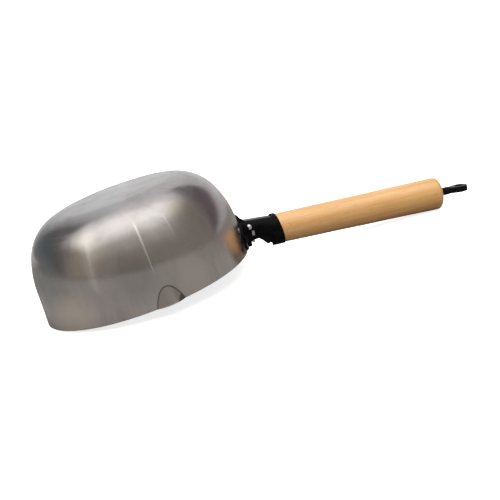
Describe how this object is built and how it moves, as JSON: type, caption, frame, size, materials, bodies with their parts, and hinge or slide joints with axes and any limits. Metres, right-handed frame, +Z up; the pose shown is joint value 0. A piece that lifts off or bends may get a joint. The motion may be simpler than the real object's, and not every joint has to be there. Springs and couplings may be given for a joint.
{
  "type": "mortar ladle",
  "caption": "Deep round steel bowl with two pour lips, riveted black bracket and long wooden grip ending in a hanging eye, stored upside down.",
  "frame": {"origin": "on the surface the ladle lies on, under the middle of its box", "axes": "+Z up, +X towards the tail of the grip, +Y across; the XZ plane is the mirror plane"},
  "size_m": [0.3946, 0.188, 0.0959],
  "materials": {
    "bowl_steel": "satin, brushed",
    "black_paint": "gloss",
    "black_rivet": "gloss",
    "bright_rivet": "polished",
    "zinc": "zinc plated",
    "black_rod": "semi gloss",
    "beech": "thin varnish"
  },
  "bodies": {
    "root": {"bowl": "bowl_steel", "bracket": "black_paint", "flange_rivets": "black_rivet", "anchor_bridge": "zinc", "cross_rivet": "bright_rivet", "anchor_nut": "zinc", "tie_rod": "black_rod", "tail_washer": "zinc", "grip": "beech"}
  },
  "joints": []
}
